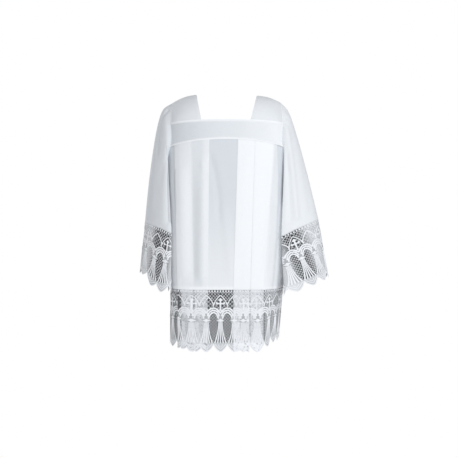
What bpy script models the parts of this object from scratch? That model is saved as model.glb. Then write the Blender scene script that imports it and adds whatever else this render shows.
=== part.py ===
# Surplice in its worn form: a hollow garment of separate cloth walls, with nobody in it.
# X runs to the viewer's right, -Y to the front and +Z up. The origin is the middle of the neck,
# level with the tops of the shoulders. "left" and "right" are the viewer's.
# Sizes are in millimetres until a mesh is made; MM turns them into metres.

import math
from collections import namedtuple

import bpy
from mathutils import Vector
from mathutils.geometry import delaunay_2d_cdt

MM = 0.001
FRONT = -1
BACK = 1
SEAM_GAP = 0.3
# Front and back meet at an angle at the side seams, so their walls' corners come nearer.
SIDE_SEAM_GAP = 0.7
# Yoke and panel follow their shared curve with points at different places.
YOKE_SEAM_GAP = 0.7

CLOTH_WALL = 1.2
PLEAT_WALL = 1.0
LACE_WALL = 1.0

# Body: squared ovals, one row for each level.
Section = namedtuple("Section", "z half_width half_depth squareness centre_x")
BODY = (
    Section(0, 198, 108, 3.0, 0),
    Section(-100, 203, 115, 3.0, 0),
    Section(-164, 204, 118, 3.0, 0),
    Section(-290, 190, 122, 2.6, 0),
    Section(-656, 191, 134, 2.6, -1),
    Section(-860, 185, 137, 2.6, -9),
)

# Armhole: an upright oval on each side of the body.
ARMHOLE_MID_Z = -158.5
ARMHOLE_HALF_HEIGHT = 131.5
ARMHOLE_HALF_DEPTH = 75
SHOULDER_POINT_X = 186
SHOULDER_RISE = 6

# Level of a crosswise seam at the middle and at the armholes.
Level = namedtuple("Level", "middle_z end_z")
FRONT_YOKE_TOP = Level(-99, -105)
BACK_YOKE_TOP = Level(-80, -105)
YOKE_SEAM = Level(-162, -184)
HEM_Z = -656
LACE_HEIGHT = 202

# Square neck: the corners' places along X, and the tops of the shoulders.
Neck = namedtuple("Neck", "front_x back_x top_x top_z")
NECK = {"left": Neck(-84, -99, -104, 0), "right": Neck(78, 95, 102, -3)}

# Pleats, from left to right. Each row is one fold: its place along X at the yoke seam and at
# the hem, and the layer of the cloth from there to the next fold. Layer 0 is the body's
# surface, and a step is LAYER_TOP mm thick at the yoke and LAYER_HEM at the hem.
Fold = namedtuple("Fold", "x_top x_hem layer")
FOLDS = (
    Fold(-121, -110, 1),
    Fold(-150, -138, 0),
    Fold(-58, -62, -1),
    Fold(-101, -105, -2),
    Fold(80, 64, -1),
    Fold(37, 21, 0),
    Fold(153, 115, 1),
    Fold(93, 77, 2),
)
LAYER_TOP = 1.5
LAYER_HEM = 2.6
# Lines where every layer has a point, so that the layers stay parallel round the body.
Guide = namedtuple("Guide", "x_top x_hem")
GUIDES = (
    Guide(-135, -124), Guide(-80, -85), Guide(-10, -21), Guide(60, 45), Guide(123, 96),
)
GUIDE_CLEARANCE = 4
# Cloth beside the pleats: the line along X where it begins, then rows that lead from there
# (seam_share 0) to the side seam (1), with how far it stands out from the body's surface.
Side = namedtuple("Side", "x_top x_hem rows")
SideRow = namedtuple("SideRow", "seam_share out_top out_hem")
LEFT_SIDE = Side(-172, -156, (
    SideRow(0.0, 3, 5.2), SideRow(0.05, -2, -8), SideRow(0.35, -2, -6), SideRow(0.7, -1, -3),
    SideRow(1.0, 0, 0),
))
RIGHT_SIDE = Side(160, 120, (
    SideRow(0.0, 3, 5.2), SideRow(0.33, -1, -18), SideRow(0.67, -1, -17), SideRow(1.0, 0, 0),
))
FACE_LAYER = 2
CROSS_COLUMN_X = -21

# Heights of the panel's rows at the side: along the armhole, under the arm, down to the hem.
PANEL_SIDE_Z = (-184, -222, -258, -281, -290, -430, -656)

# Sleeves: each ring has its outermost and innermost points, its half depth, how much of it
# lies flat on the inner side, and how far its front and back edges wrap inwards.
Ring = namedtuple("Ring", "out_x out_z in_x in_z half_depth flatness wrap")
ARMHOLE_RING = Ring(187, -27, 190.5, -290, 75, 1.0, 0)
SLEEVES = {
    "left": (
        ARMHOLE_RING,
        Ring(219, -50, 195, -308, 82, 1.1, 3),
        Ring(238, -105, 197, -332, 90, 1.3, 9),
        Ring(254, -195, 198, -366, 97, 1.6, 17),
        Ring(269, -310, 198, -415, 103, 1.9, 24),
        Ring(281, -434, 198, -480, 107, 2.1, 27),
    ),
    "right": (
        ARMHOLE_RING,
        Ring(212, -62, 195, -312, 82, 1.1, 3),
        Ring(240, -145, 198, -345, 91, 1.35, 8),
        Ring(270, -253, 199, -390, 99, 1.7, 14),
        Ring(294, -350, 200, -440, 105, 2.0, 19),
        Ring(312, -425, 201, -490, 109, 2.2, 22),
    ),
}
# The lower ring of each cuff's lace. `fall` is how sharply its edge drops from the outermost
# point; `offset` moves the lace's columns along the seam, and `lean` tilts them outwards.
Cuff = namedtuple("Cuff", "ring fall offset lean")
CUFFS = {
    "left": Cuff(Ring(299, -607, 200, -668, 110, 2.1, 25), 3.6, 9, 0.12),
    "right": Cuff(Ring(347, -622, 206, -682, 112, 2.2, 22), 1.3, -5, 0.29),
}
# The depth at which the lean leaves a column where the seam puts it.
CUFF_LEVEL_V = 97
SLEEVE_STEPS_ROUND = 28
SLEEVE_START_OFFSET = 1.5
CUFF_COLUMNS = 12
# The cuff's lace turns a little from the sleeve's slope, so it starts a little lower.
CUFF_SEAM_GAP = 0.7

# Lace: a column repeats every LACE_REPEAT mm, and every second one holds a cross.
# v runs down from the lace's seam, u along it.
LACE_REPEAT = 45
SCALLOP = ((-22.5, 179), (-12, 189), (0, 202), (12, 189))
WINDOW = ((0, 77), (13.5, 93), (10, 102), (15, 110), (0, 165), (-15, 110), (-10, 102), (-13.5, 93))
PLAIN_ARCH = ((0, 25), (17.5, 50), (8.5, 60), (0, 70), (-8.5, 60), (-17.5, 50))
CROSS_ARCH = ((3, 29), (17.5, 50), (8.5, 60), (3, 66), (3, 48), (11, 48), (11, 42), (3, 42))
LACE_END_MARGIN = 3
TOP_EDGE_STEP = 22.5
SMALLEST_CUT = 30
SNAP = 1.2

CLOTH_WHITE = (0.90, 0.91, 0.94, 1)
LACE_WHITE = (0.84, 0.85, 0.88, 1)


def clamp(value):
    return min(1.0, max(0.0, value))


def mix(a, b, part):
    return a + (b - a) * part


def body_section(z):
    """The body's oval at height z."""
    for index in range(len(BODY) - 1):
        upper, lower = BODY[index], BODY[index + 1]
        if z >= lower.z or index == len(BODY) - 2:
            part = clamp((upper.z - z) / (upper.z - lower.z))
            return Section(*[mix(a, b, part) for a, b in zip(upper, lower)])


# ---- the body's surface ----
# t runs from 0 at the left side seam to 1 at the right one, round the front or the back.

def body_point(t, z, face, out=0.0):
    """A point on the body's oval, moved out from it by `out`."""
    section = body_section(z)
    power = 2 / section.squareness
    across = -math.copysign(abs(math.cos(math.pi * t)) ** power, math.cos(math.pi * t))
    deep = abs(math.sin(math.pi * t)) ** power
    slope = Vector((
        math.copysign(abs(across) ** (section.squareness - 1), across) / section.half_width,
        deep ** (section.squareness - 1) / section.half_depth,
    )).normalized()
    x = section.centre_x + section.half_width * across + slope.x * out
    y = section.half_depth * deep + slope.y * out + SIDE_SEAM_GAP / 2
    return Vector((x, face * y, z))


def t_at_x(x, z):
    """Where the oval passes x."""
    section = body_section(z)
    across = (x - section.centre_x) / section.half_width
    across = math.copysign(min(1, abs(across)) ** (section.squareness / 2), across)
    return math.acos(-across) / math.pi


def t_at_armhole(z, left=True):
    """Where the panel ends at height z: on the armhole, or at the side seam below it."""
    section = body_section(z)
    deep = armhole_depth(z) / section.half_depth
    t = math.asin(deep ** (section.squareness / 2)) / math.pi
    return t if left else 1 - t


def armhole_depth(z):
    height = (z - ARMHOLE_MID_Z) / ARMHOLE_HALF_HEIGHT
    return ARMHOLE_HALF_DEPTH * math.sqrt(max(0.0, 1 - height ** 2))


def armhole_point(z, side, face):
    """A point on the armhole: on the body's oval, or on the strap's edge above the yoke."""
    depth = armhole_depth(z)
    join_z = FRONT_YOKE_TOP.end_z
    join = body_point(t_at_armhole(min(z, join_z), left=False), min(z, join_z), face)
    rise = clamp((z - join_z) / (ARMHOLE_MID_Z + ARMHOLE_HALF_HEIGHT - join_z))
    return Vector((side * mix(join.x, SHOULDER_POINT_X, rise), face * depth, z))


def level_z(level, t):
    """Height of a crosswise seam, which falls from the middle to the armholes."""
    end_t = t_at_armhole(level.end_z)
    fall = abs(math.cos(math.pi * t)) / math.cos(math.pi * end_t)
    return mix(level.middle_z, level.end_z, fall ** 1.4)


# ---- pleats ----

PathPoint = namedtuple("PathPoint", "x_top x_hem inset out_top out_hem seam_share on_fold")


def down_part(z):
    """0 at the yoke seam and 1 at the hem and on the lace."""
    return clamp((YOKE_SEAM.middle_z - z) / (YOKE_SEAM.middle_z - HEM_Z))


def layer_step(z):
    return mix(LAYER_TOP, LAYER_HEM, down_part(z))


def layer_point(line, layer, inset=0.0, on_fold=False):
    """A point of the path on one layer, at a line down the panel."""
    return PathPoint(line.x_top, line.x_hem, inset, layer * LAYER_TOP, layer * LAYER_HEM,
                     0, on_fold)


def fold_turn(fold, before_x, layer_in):
    """Three points round one fold, from the layer that comes in to the one that leaves."""
    heading = math.copysign(1, fold.x_hem - before_x)
    radius = abs(fold.layer - layer_in) / 2
    return [
        layer_point(fold, layer_in, -heading * radius, True),
        layer_point(fold, (layer_in + fold.layer) / 2, 0, True),
        layer_point(fold, fold.layer, -heading * radius, True),
    ]


def guide_points(start, end, layer):
    """Points of one layer at the guides and folds that lie between two of its folds."""
    low, high = sorted((start.x_hem, end.x_hem))
    low_top, high_top = sorted((start.x_top, end.x_top))
    found = []
    for guide in GUIDES + tuple(Guide(fold.x_top, fold.x_hem) for fold in FOLDS):
        inside = low + GUIDE_CLEARANCE < guide.x_hem < high - GUIDE_CLEARANCE
        inside_top = low_top + GUIDE_CLEARANCE < guide.x_top < high_top - GUIDE_CLEARANCE
        near = any(abs(guide.x_hem - point.x_hem) < GUIDE_CLEARANCE for point in found)
        if inside and inside_top and not near:
            found.append(layer_point(guide, layer))
    found.sort(key=lambda point: point.x_hem, reverse=end.x_hem < start.x_hem)
    return found


def side_points(side):
    """Points from the pleats to a side seam."""
    return [
        PathPoint(side.x_top, side.x_hem, 0, row.out_top, row.out_hem, row.seam_share, False)
        for row in side.rows
    ]


def pleat_path():
    """The whole panel's path, from the left side seam to the right one."""
    path = side_points(LEFT_SIDE)[::-1]
    before, layer_in = LEFT_SIDE, FACE_LAYER
    path += guide_points(LEFT_SIDE, FOLDS[0], FACE_LAYER)
    for fold, following in zip(FOLDS, FOLDS[1:] + (RIGHT_SIDE,)):
        path += fold_turn(fold, before.x_hem, layer_in)
        path += guide_points(fold, following, fold.layer)
        before, layer_in = fold, fold.layer
    return path + side_points(RIGHT_SIDE)


PATH = pleat_path()


def path_x(point, z):
    return mix(point.x_top, point.x_hem, down_part(z)) + point.inset * layer_step(z)


def path_t(point, z):
    t = t_at_x(path_x(point, z), z)
    return mix(t, t_at_armhole(z, point.x_hem < 0), point.seam_share)


def path_out(point, z):
    """How far a point of the path stands out from the body's surface."""
    return mix(point.out_top, point.out_hem, down_part(z))


def path_lengths():
    """Flat distance along the panel at the hem, from the middle of the cross column."""
    places = [body_point(path_t(p, HEM_Z), HEM_Z, FRONT, path_out(p, HEM_Z)) for p in PATH]
    lengths = [0.0]
    for start, end in zip(places, places[1:]):
        lengths.append(lengths[-1] + (end - start).length)
    middle = next(
        length for length, point in zip(lengths, PATH)
        if point.out_top < 0 and point.x_hem == CROSS_COLUMN_X
    )
    return [length - middle for length in lengths]


PATH_U = path_lengths()


def panel_point(u, z, face):
    """The place of flat distance u along the pleated panel, at height z."""
    index = 0
    while index < len(PATH_U) - 2 and u > PATH_U[index + 1]:
        index += 1
    part = (u - PATH_U[index]) / (PATH_U[index + 1] - PATH_U[index])
    start, end = PATH[index], PATH[index + 1]
    t = mix(path_t(start, z), path_t(end, z), part)
    return body_point(t, z, face, mix(path_out(start, z), path_out(end, z), part))


# ---- meshes ----

def cloth_piece(name, points, faces, wall, color):
    """An open surface that Solidify turns into a closed wall."""
    mesh = bpy.data.meshes.new(name)
    mesh.from_pydata([Vector(point) * MM for point in points], [], faces)
    mesh.update()
    piece = bpy.data.objects.new(name, mesh)
    GARMENT.objects.link(piece)
    solidify = piece.modifiers.new("Wall", "SOLIDIFY")
    solidify.thickness = wall * MM
    solidify.offset = 0
    solidify.use_even_offset = True
    solidify.thickness_clamp = 0
    material = bpy.data.materials.new(name)
    material.use_nodes = True
    shader = material.node_tree.nodes["Principled BSDF"]
    shader.inputs["Base Color"].default_value = color
    shader.inputs["Roughness"].default_value = 0.8
    shader.inputs["Metallic"].default_value = 0
    mesh.materials.append(material)
    return piece


def grid_piece(name, rows, closed=False, color=CLOTH_WHITE, wall=CLOTH_WALL, flip=False):
    """A piece from rows of points, each row as long as the next."""
    width = len(rows[0])
    faces = []
    for row in range(len(rows) - 1):
        for column in range(width if closed else width - 1):
            beside = (column + 1) % width
            face = (row * width + column, row * width + beside,
                    (row + 1) * width + beside, (row + 1) * width + column)
            faces.append(face[::-1] if flip else face)
    return cloth_piece(name, [point for row in rows for point in row], faces, wall, color)


# ---- pieces ----

def make_yoke(name, top, face):
    """The band between the neck and the pleats."""
    steps_across, steps_down = 16, 2
    rows = []
    for down in range(steps_down + 1):
        row = []
        for across in range(steps_across + 1):
            ends = mix(top.end_z, YOKE_SEAM.end_z, down / steps_down)
            start = t_at_armhole(ends)
            t = mix(start, 1 - start, across / steps_across)
            z = mix(level_z(top, t), level_z(YOKE_SEAM, t) + YOKE_SEAM_GAP, down / steps_down)
            row.append(body_point(t, z, face))
        rows.append(row)
    grid_piece(name, rows, flip=face == FRONT)


def make_skirt(name, face):
    """The pleated panel, from the yoke seam and the armholes down to the lace."""
    rows = []
    for side_z in PANEL_SIDE_Z:
        down = (side_z - YOKE_SEAM.end_z) / (HEM_Z - YOKE_SEAM.end_z)
        row = []
        for point in PATH:
            end_t = t_at_armhole(YOKE_SEAM.end_z, point.x_hem < 0)
            flat_t = mix(t_at_x(point.x_top, YOKE_SEAM.middle_z), end_t, point.seam_share)
            z = mix(level_z(YOKE_SEAM, flat_t), HEM_Z, down)
            row.append(body_point(path_t(point, z), z, face, path_out(point, z)))
        rows.append(row)
    grid_piece(name, rows, wall=PLEAT_WALL, flip=face == FRONT)


def strap_edges(side, face):
    """Corner points and edge curves of one half of a shoulder strap, as functions of 0 to 1."""
    neck = NECK[side]
    sign = -1 if side == "left" else 1
    level = FRONT_YOKE_TOP if face == FRONT else BACK_YOKE_TOP
    corner_x = neck.front_x if face == FRONT else neck.back_x
    neck_t = t_at_x(corner_x, level.middle_z)
    end_t = t_at_armhole(level.end_z, sign < 0)
    shoulder_z = ARMHOLE_MID_Z + ARMHOLE_HALF_HEIGHT
    neck_top = Vector((neck.top_x, 0, neck.top_z))
    shoulder = Vector((sign * SHOULDER_POINT_X, 0, shoulder_z))

    def seam(across):
        t = mix(neck_t, end_t, across)
        return body_point(t, level_z(level, t) + SEAM_GAP, face)

    def neck_edge(up):
        low = seam(0)
        turn = up * math.pi / 2
        rise = math.sin(turn)
        return Vector((mix(low.x, neck_top.x, rise), low.y * math.cos(turn),
                       mix(low.z, neck_top.z, rise)))

    def arm_edge(up):
        low_z = seam(1).z
        start = math.acos((low_z - ARMHOLE_MID_Z) / ARMHOLE_HALF_HEIGHT)
        z = ARMHOLE_MID_Z + ARMHOLE_HALF_HEIGHT * math.cos(start * (1 - up))
        return armhole_point(z, sign, face)

    def ridge(across):
        rise = SHOULDER_RISE * math.sin(math.pi * across)
        return neck_top.lerp(shoulder, across) + Vector((0, 0, rise))

    return seam, neck_edge, arm_edge, ridge


def strap_point(edges, across, up):
    """A surface between four edge curves, level across the ridge of the shoulder."""
    seam, neck_edge, arm_edge, ridge = edges
    keep = math.cos(up * math.pi / 2) ** 2
    sides = neck_edge(up).lerp(arm_edge(up), across)
    ends = seam(across) * keep + ridge(across) * (1 - keep)
    low = seam(0).lerp(seam(1), across)
    high = ridge(0).lerp(ridge(1), across)
    return sides + ends - (low * keep + high * (1 - keep))


def make_strap(side):
    steps_across, steps_up = 6, 6
    rows = []
    for step in range(-steps_up, steps_up + 1):
        face = FRONT if step < 0 else BACK
        up = 1 - abs(step) / steps_up
        edges = strap_edges(side, face)
        rows.append([strap_point(edges, n / steps_across, up) for n in range(steps_across + 1)])
    grid_piece("strap_" + side, rows, flip=side == "left")


def ring_point(ring, angle, side, fall=1.0):
    """A point on a sleeve's ring; angle 0 is outermost, half a turn innermost."""
    reach = ((1 + math.cos(angle)) / 2) ** ring.flatness
    x = mix(ring.in_x, ring.out_x, reach) - ring.wrap * math.sin(angle) ** 2
    z = mix(ring.in_z, ring.out_z, reach ** fall)
    sign = -1 if side == "left" else 1
    return Vector((sign * x, -ring.half_depth * math.sin(angle), z))


def make_sleeve(side):
    """From the armhole's edge down to the cuff lace."""
    sign = -1 if side == "left" else 1
    rings = SLEEVES[side]
    angles = [2 * math.pi * n / SLEEVE_STEPS_ROUND for n in range(SLEEVE_STEPS_ROUND)]
    rows = []
    for index, ring in enumerate(rings):
        if index == 0:
            row = []
            for angle in angles:
                z = ARMHOLE_MID_Z + ARMHOLE_HALF_HEIGHT * math.cos(angle)
                place = armhole_point(z, sign, FRONT if math.sin(angle) >= 0 else BACK)
                row.append(place + Vector((sign * SLEEVE_START_OFFSET, 0, 0)))
            rows.append(row)
        else:
            rows.append([ring_point(ring, angle, side) for angle in angles])
    grid_piece("sleeve_" + side, rows, closed=True, flip=side == "right")


# ---- lace ----

def scallop_v(u):
    """Depth of the lace's lower edge at u."""
    place = (u + LACE_REPEAT / 2) % LACE_REPEAT - LACE_REPEAT / 2
    corners = SCALLOP + ((LACE_REPEAT / 2, SCALLOP[0][1]),)
    for (u0, v0), (u1, v1) in zip(corners, corners[1:]):
        if place <= u1:
            return mix(v0, v1, (place - u0) / (u1 - u0))
    return corners[-1][1]


def clipped(outline, low, high):
    """The outline between two upright lines."""
    for limit, keep_above in ((low, True), (high, False)):
        kept = []
        for (u0, v0), (u1, v1) in zip(outline, outline[1:] + outline[:1]):
            inside0 = (u0 >= limit) == keep_above
            inside1 = (u1 >= limit) == keep_above
            if inside0:
                kept.append((u0, v0))
            if inside0 != inside1:
                kept.append((limit, mix(v0, v1, (limit - u0) / (u1 - u0))))
        outline = kept
    return outline


def outline_area(outline):
    turns = zip(outline, outline[1:] + outline[:1])
    return abs(sum(u0 * v1 - u1 * v0 for (u0, v0), (u1, v1) in turns)) / 2


def lace_cuts(start, end, first_cross):
    """Outlines of the gaps that are cut through, from start to end."""
    cuts = []
    first = math.floor(start / LACE_REPEAT) - 1
    last = math.ceil(end / LACE_REPEAT) + 1
    for column in range(first, last + 1):
        middle = column * LACE_REPEAT
        shapes = [[(u + LACE_REPEAT / 2, v) for u, v in WINDOW]]
        if (column - first_cross) % 2 == 0:
            shapes += [list(CROSS_ARCH), [(-u, v) for u, v in CROSS_ARCH[::-1]]]
        else:
            shapes.append(list(PLAIN_ARCH))
        for shape in shapes:
            cut = clipped([(middle + u, v) for u, v in shape],
                          start + LACE_END_MARGIN, end - LACE_END_MARGIN)
            if len(cut) > 2 and outline_area(cut) > SMALLEST_CUT:
                cuts.append(cut)
    return cuts


def snapped(cuts, lines):
    """Move the cuts' corners onto fold lines that they nearly touch."""
    moved = []
    for cut in cuts:
        outline = []
        for u, v in cut:
            close = [line for line in lines if abs(line - u) < SNAP]
            corner = (close[0], v) if close else (u, v)
            if corner not in outline:
                outline.append(corner)
        moved.append(outline)
    return moved


def is_inside(u, v, outline):
    inside = False
    for (u0, v0), (u1, v1) in zip(outline, outline[1:] + outline[:1]):
        if (v0 > v) != (v1 > v) and u < mix(u0, u1, (v - v0) / (v1 - v0)):
            inside = not inside
    return inside


def lace_pattern(start, end, lines, first_cross):
    """Flat lace: points and triangles between its edges, without its gaps."""
    steps = [corner + LACE_REPEAT * column
             for column in range(math.floor(start / LACE_REPEAT), math.ceil(end / LACE_REPEAT) + 1)
             for corner, _ in SCALLOP]
    lines = lines + [start + LACE_END_MARGIN, end - LACE_END_MARGIN]
    bottom = [start] + [u for u in steps if start + SNAP < u < end - SNAP] + [end]
    bottom = [next((line for line in lines if abs(line - u) < SNAP), u) for u in bottom]
    top_steps = round((end - start) / TOP_EDGE_STEP)
    top = [mix(end, start, n / top_steps) for n in range(top_steps + 1)]
    top = [next((line for line in lines if abs(line - u) < SNAP), u) for u in top]
    outline = [(u, scallop_v(u)) for u in bottom] + [(u, 0) for u in top]
    cuts = snapped(lace_cuts(start, end, first_cross), lines)
    corners, edges = [], []
    for ring in [outline] + cuts:
        base = len(corners)
        corners += ring
        edges += [(base + n, base + (n + 1) % len(ring)) for n in range(len(ring))]
    for line in lines:
        corners += [(line, -LACE_REPEAT), (line, LACE_HEIGHT + LACE_REPEAT)]
        edges.append((len(corners) - 2, len(corners) - 1))
    flat, _, triangles, *_ = delaunay_2d_cdt([Vector(c) for c in corners], edges, [], 0, 0.01)
    kept = []
    for triangle in triangles:
        u = sum(flat[n].x for n in triangle) / 3
        v = sum(flat[n].y for n in triangle) / 3
        if is_inside(u, v, outline) and not any(is_inside(u, v, cut) for cut in cuts):
            kept.append(tuple(triangle))
    used = sorted({n for triangle in kept for n in triangle})
    number = {old: new for new, old in enumerate(used)}
    return [flat[n] for n in used], [tuple(number[n] for n in triangle) for triangle in kept]


def lace_piece(name, start, end, lines, first_cross, place, flip):
    """Lace whose flat points are put in space by the function `place`."""
    flat, triangles = lace_pattern(start, end, lines, first_cross)
    if flip:
        triangles = [triangle[::-1] for triangle in triangles]
    cloth_piece(name, [place(p.x, p.y) for p in flat], triangles, LACE_WALL, LACE_WHITE)


def make_hem_lace(name, face):
    start, end = PATH_U[0], PATH_U[-1]
    lines = [u for u, point in zip(PATH_U, PATH) if point.on_fold]

    def place(u, v):
        return panel_point(u, HEM_Z - SEAM_GAP - v, face)

    lace_piece(name, start, end, lines, 0, place, face == FRONT)


def make_cuff_lace(side, face):
    """Half of a cuff's lace, from its outermost line to its innermost one."""
    seam, cuff = SLEEVES[side][-1], CUFFS[side]
    steps = 60
    middle = Ring(*[mix(a, b, 0.5) for a, b in zip(seam, cuff.ring)])
    places = [ring_point(middle, math.pi * n / steps, side) for n in range(steps + 1)]
    lengths = [0.0]
    for first, second in zip(places, places[1:]):
        lengths.append(lengths[-1] + (second - first).length)
    width = CUFF_COLUMNS / 2 * LACE_REPEAT
    stretch = lengths[-1] / width
    gap_down = CUFF_SEAM_GAP / LACE_HEIGHT

    def place(pattern_u, v):
        u = pattern_u + cuff.offset
        u -= cuff.lean * (v - CUFF_LEVEL_V) * math.sin(math.pi * u / width)
        index = 0
        while index < steps - 1 and u * stretch > lengths[index + 1]:
            index += 1
        part = (u * stretch - lengths[index]) / (lengths[index + 1] - lengths[index])
        angle = math.pi * (index + part) / steps
        down = gap_down + v / LACE_HEIGHT
        upper = ring_point(seam, angle, side)
        lower = ring_point(cuff.ring, angle, side, cuff.fall)
        point = upper.lerp(lower, down)
        return Vector((point.x, face * abs(point.y), point.z))

    name = "cuff_lace_{}_{}".format(side, "front" if face == FRONT else "back")
    start = SEAM_GAP / 2 - cuff.offset
    end = width - SEAM_GAP / 2 - cuff.offset
    lace_piece(name, start, end, [], 1, place, (side == "left") != (face == FRONT))


def clear_scene():
    for thing in list(bpy.data.objects):
        bpy.data.objects.remove(thing)


clear_scene()
GARMENT = bpy.data.collections.new("surplice")
bpy.context.scene.collection.children.link(GARMENT)

make_yoke("yoke_front", FRONT_YOKE_TOP, FRONT)
make_yoke("yoke_back", BACK_YOKE_TOP, BACK)
make_skirt("skirt_front", FRONT)
make_skirt("skirt_back", BACK)
make_hem_lace("hem_lace_front", FRONT)
make_hem_lace("hem_lace_back", BACK)
for garment_side in ("left", "right"):
    make_strap(garment_side)
    make_sleeve(garment_side)
    for garment_face in (FRONT, BACK):
        make_cuff_lace(garment_side, garment_face)
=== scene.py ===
import math
from functools import partial

import bpy
import numpy as np
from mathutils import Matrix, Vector


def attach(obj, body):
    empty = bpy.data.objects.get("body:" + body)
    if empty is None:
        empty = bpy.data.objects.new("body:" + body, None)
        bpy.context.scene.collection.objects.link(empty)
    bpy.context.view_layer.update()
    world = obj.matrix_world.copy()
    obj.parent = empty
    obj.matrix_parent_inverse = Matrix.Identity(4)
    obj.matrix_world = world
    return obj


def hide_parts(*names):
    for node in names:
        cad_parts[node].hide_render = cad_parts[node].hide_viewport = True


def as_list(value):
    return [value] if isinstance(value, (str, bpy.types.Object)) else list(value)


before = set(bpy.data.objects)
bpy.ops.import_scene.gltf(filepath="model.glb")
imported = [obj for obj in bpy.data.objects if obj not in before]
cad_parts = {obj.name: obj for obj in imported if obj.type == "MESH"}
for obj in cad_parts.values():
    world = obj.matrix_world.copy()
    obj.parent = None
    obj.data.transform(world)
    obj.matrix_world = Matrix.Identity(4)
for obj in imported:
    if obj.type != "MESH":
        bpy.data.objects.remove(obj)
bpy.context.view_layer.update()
print("frame loaded")

# Everything below is in millimetres until a mesh is placed. Left and right are the viewer's.
# X runs to the right, -Y to the front, +Z up, from the middle of the neck.
mm = 0.001
front, back = -1, 1


body = {
    # height, half width, half depth, squareness, middle
    "rows": np.array([
        (0, 198, 108, 3.0, 0), (-100, 203, 115, 3.0, 0), (-164, 204, 118, 3.0, 0),
        (-290, 203, 122, 4.0, -3), (-500, 205, 129, 4.0, -1), (-656, 193, 134, 4.2, 0),
        (-860, 185, 137, 4.2, -9),
    ], float),
    "sideGap": 0.7,
    "hem": -656.0,
    "seamGap": 0.3,
    # how much shorter the lace hangs towards the sides: x, share
    "shorter": [(-170, 0.06), (-150, 0.045), (-125, 0.01), (-105, 0), (105, 0), (120, 0.02), (150, 0.1),
                (170, 0.12)],
}
armhole = {"middle": -158.5, "halfHeight": 131.5, "halfDepth": 75, "shoulderX": 186, "rise": 6}
levels = {  # height at the middle and at the armholes
    "frontYokeTop": (-99.0, -105.0), "backYokeTop": (-80.0, -105.0), "yokeSeam": (-162.0, -184.0),
    "bow": 1.4,  # how suddenly they fall towards the armholes
}


def mix(a, b, part):
    return a + (b - a) * part


def signedPower(value, power):
    return np.sign(value) * np.abs(value) ** power


def smooth(value):
    value = np.clip(value, 0, 1)
    return value * value * (3 - 2 * value)


def lookUp(value, pairs):
    return np.interp(value, *np.array(pairs).T)


def runLengths(points):
    # how far along their line the points lie
    return np.concatenate([[0], np.cumsum(np.linalg.norm(np.diff(points, axis=0), axis=1))])


def alongLine(wanted, lengths, points):
    return np.stack([np.interp(wanted, lengths, column) for column in points.T], -1)


def unit(ways):
    return ways / np.maximum(np.linalg.norm(ways, axis=-1), 1e-9)[..., None]


def evenly(start, end, count):
    return [mix(start, end, n / count) for n in range(count + 1)]


def finePlaces(places, size):
    # the same places with more between them
    found = [places[0]]
    for start, end in zip(places, places[1:]):
        found += evenly(start, end, max(1, math.ceil(abs(end - start) / size)))[1:]
    return found


def section(z):
    rows = body["rows"]
    return [np.interp(-z, -rows[:, 0], rows[:, column]) for column in range(1, 5)]


def bodyPoint(t, z, face, out=0.0):
    # t runs from the left side seam (0) to the right one (1), out stands off the surface
    t, z, out = np.broadcast_arrays(t, z, out)
    halfWidth, halfDepth, square, middle = section(z)
    across = -signedPower(np.cos(math.pi * t), 2 / square)
    deep = np.abs(np.sin(math.pi * t)) ** (2 / square)
    slopeX = signedPower(across, square - 1) / halfWidth
    slopeY = deep ** (square - 1) / halfDepth
    size = np.hypot(slopeX, slopeY)
    x = middle + halfWidth * across + slopeX / size * out
    y = halfDepth * deep + slopeY / size * out + body["sideGap"] / 2
    return np.stack([x, face * y, z], axis=-1)


def tAtX(x, z):
    halfWidth, halfDepth, square, middle = section(z)
    across = signedPower(np.clip((x - middle) / halfWidth, -1, 1), square / 2)
    return np.arccos(-across) / math.pi


def turnAt(t, z):
    # the angle round the section, which runs evenly along its sides too
    power = 2 / section(z)[2]
    return np.arctan2(np.abs(np.sin(math.pi * t)) ** power, signedPower(np.cos(math.pi * t), power))


def tAtTurn(turn, z):
    power = section(z)[2] / 2
    return np.arctan2(np.abs(np.sin(turn)) ** power, signedPower(np.cos(turn), power)) / math.pi


def armholeDepth(z):
    height = (z - armhole["middle"]) / armhole["halfHeight"]
    return armhole["halfDepth"] * np.sqrt(np.maximum(0.0, 1 - height ** 2))


def tAtArmhole(z, left=True):
    halfWidth, halfDepth, square, middle = section(z)
    t = np.arcsin((armholeDepth(z) / halfDepth) ** (square / 2)) / math.pi
    return np.where(left, t, 1 - t)


def armholeZ(angle):
    return armhole["middle"] + armhole["halfHeight"] * np.cos(angle)


def armholePoint(z, side):
    # its front half; above the yoke it runs in to the shoulder's end
    joinZ = levels["frontYokeTop"][1]
    low = np.minimum(z, joinZ)
    joinX = bodyPoint(tAtArmhole(low, False), low, 1)[..., 0]
    rise = np.clip((z - joinZ) / (armholeZ(0) - joinZ), 0, 1)
    return np.stack([side * mix(joinX, armhole["shoulderX"], rise), armholeDepth(z), z], axis=-1)


def levelFall(t, end):
    # 0 in the middle, 1 where height end meets the armhole
    return (np.abs(np.cos(math.pi * t)) / math.cos(math.pi * float(tAtArmhole(end)))) ** levels["bow"]


def levelZ(level, t):
    return mix(*level, levelFall(t, level[1]))


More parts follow.
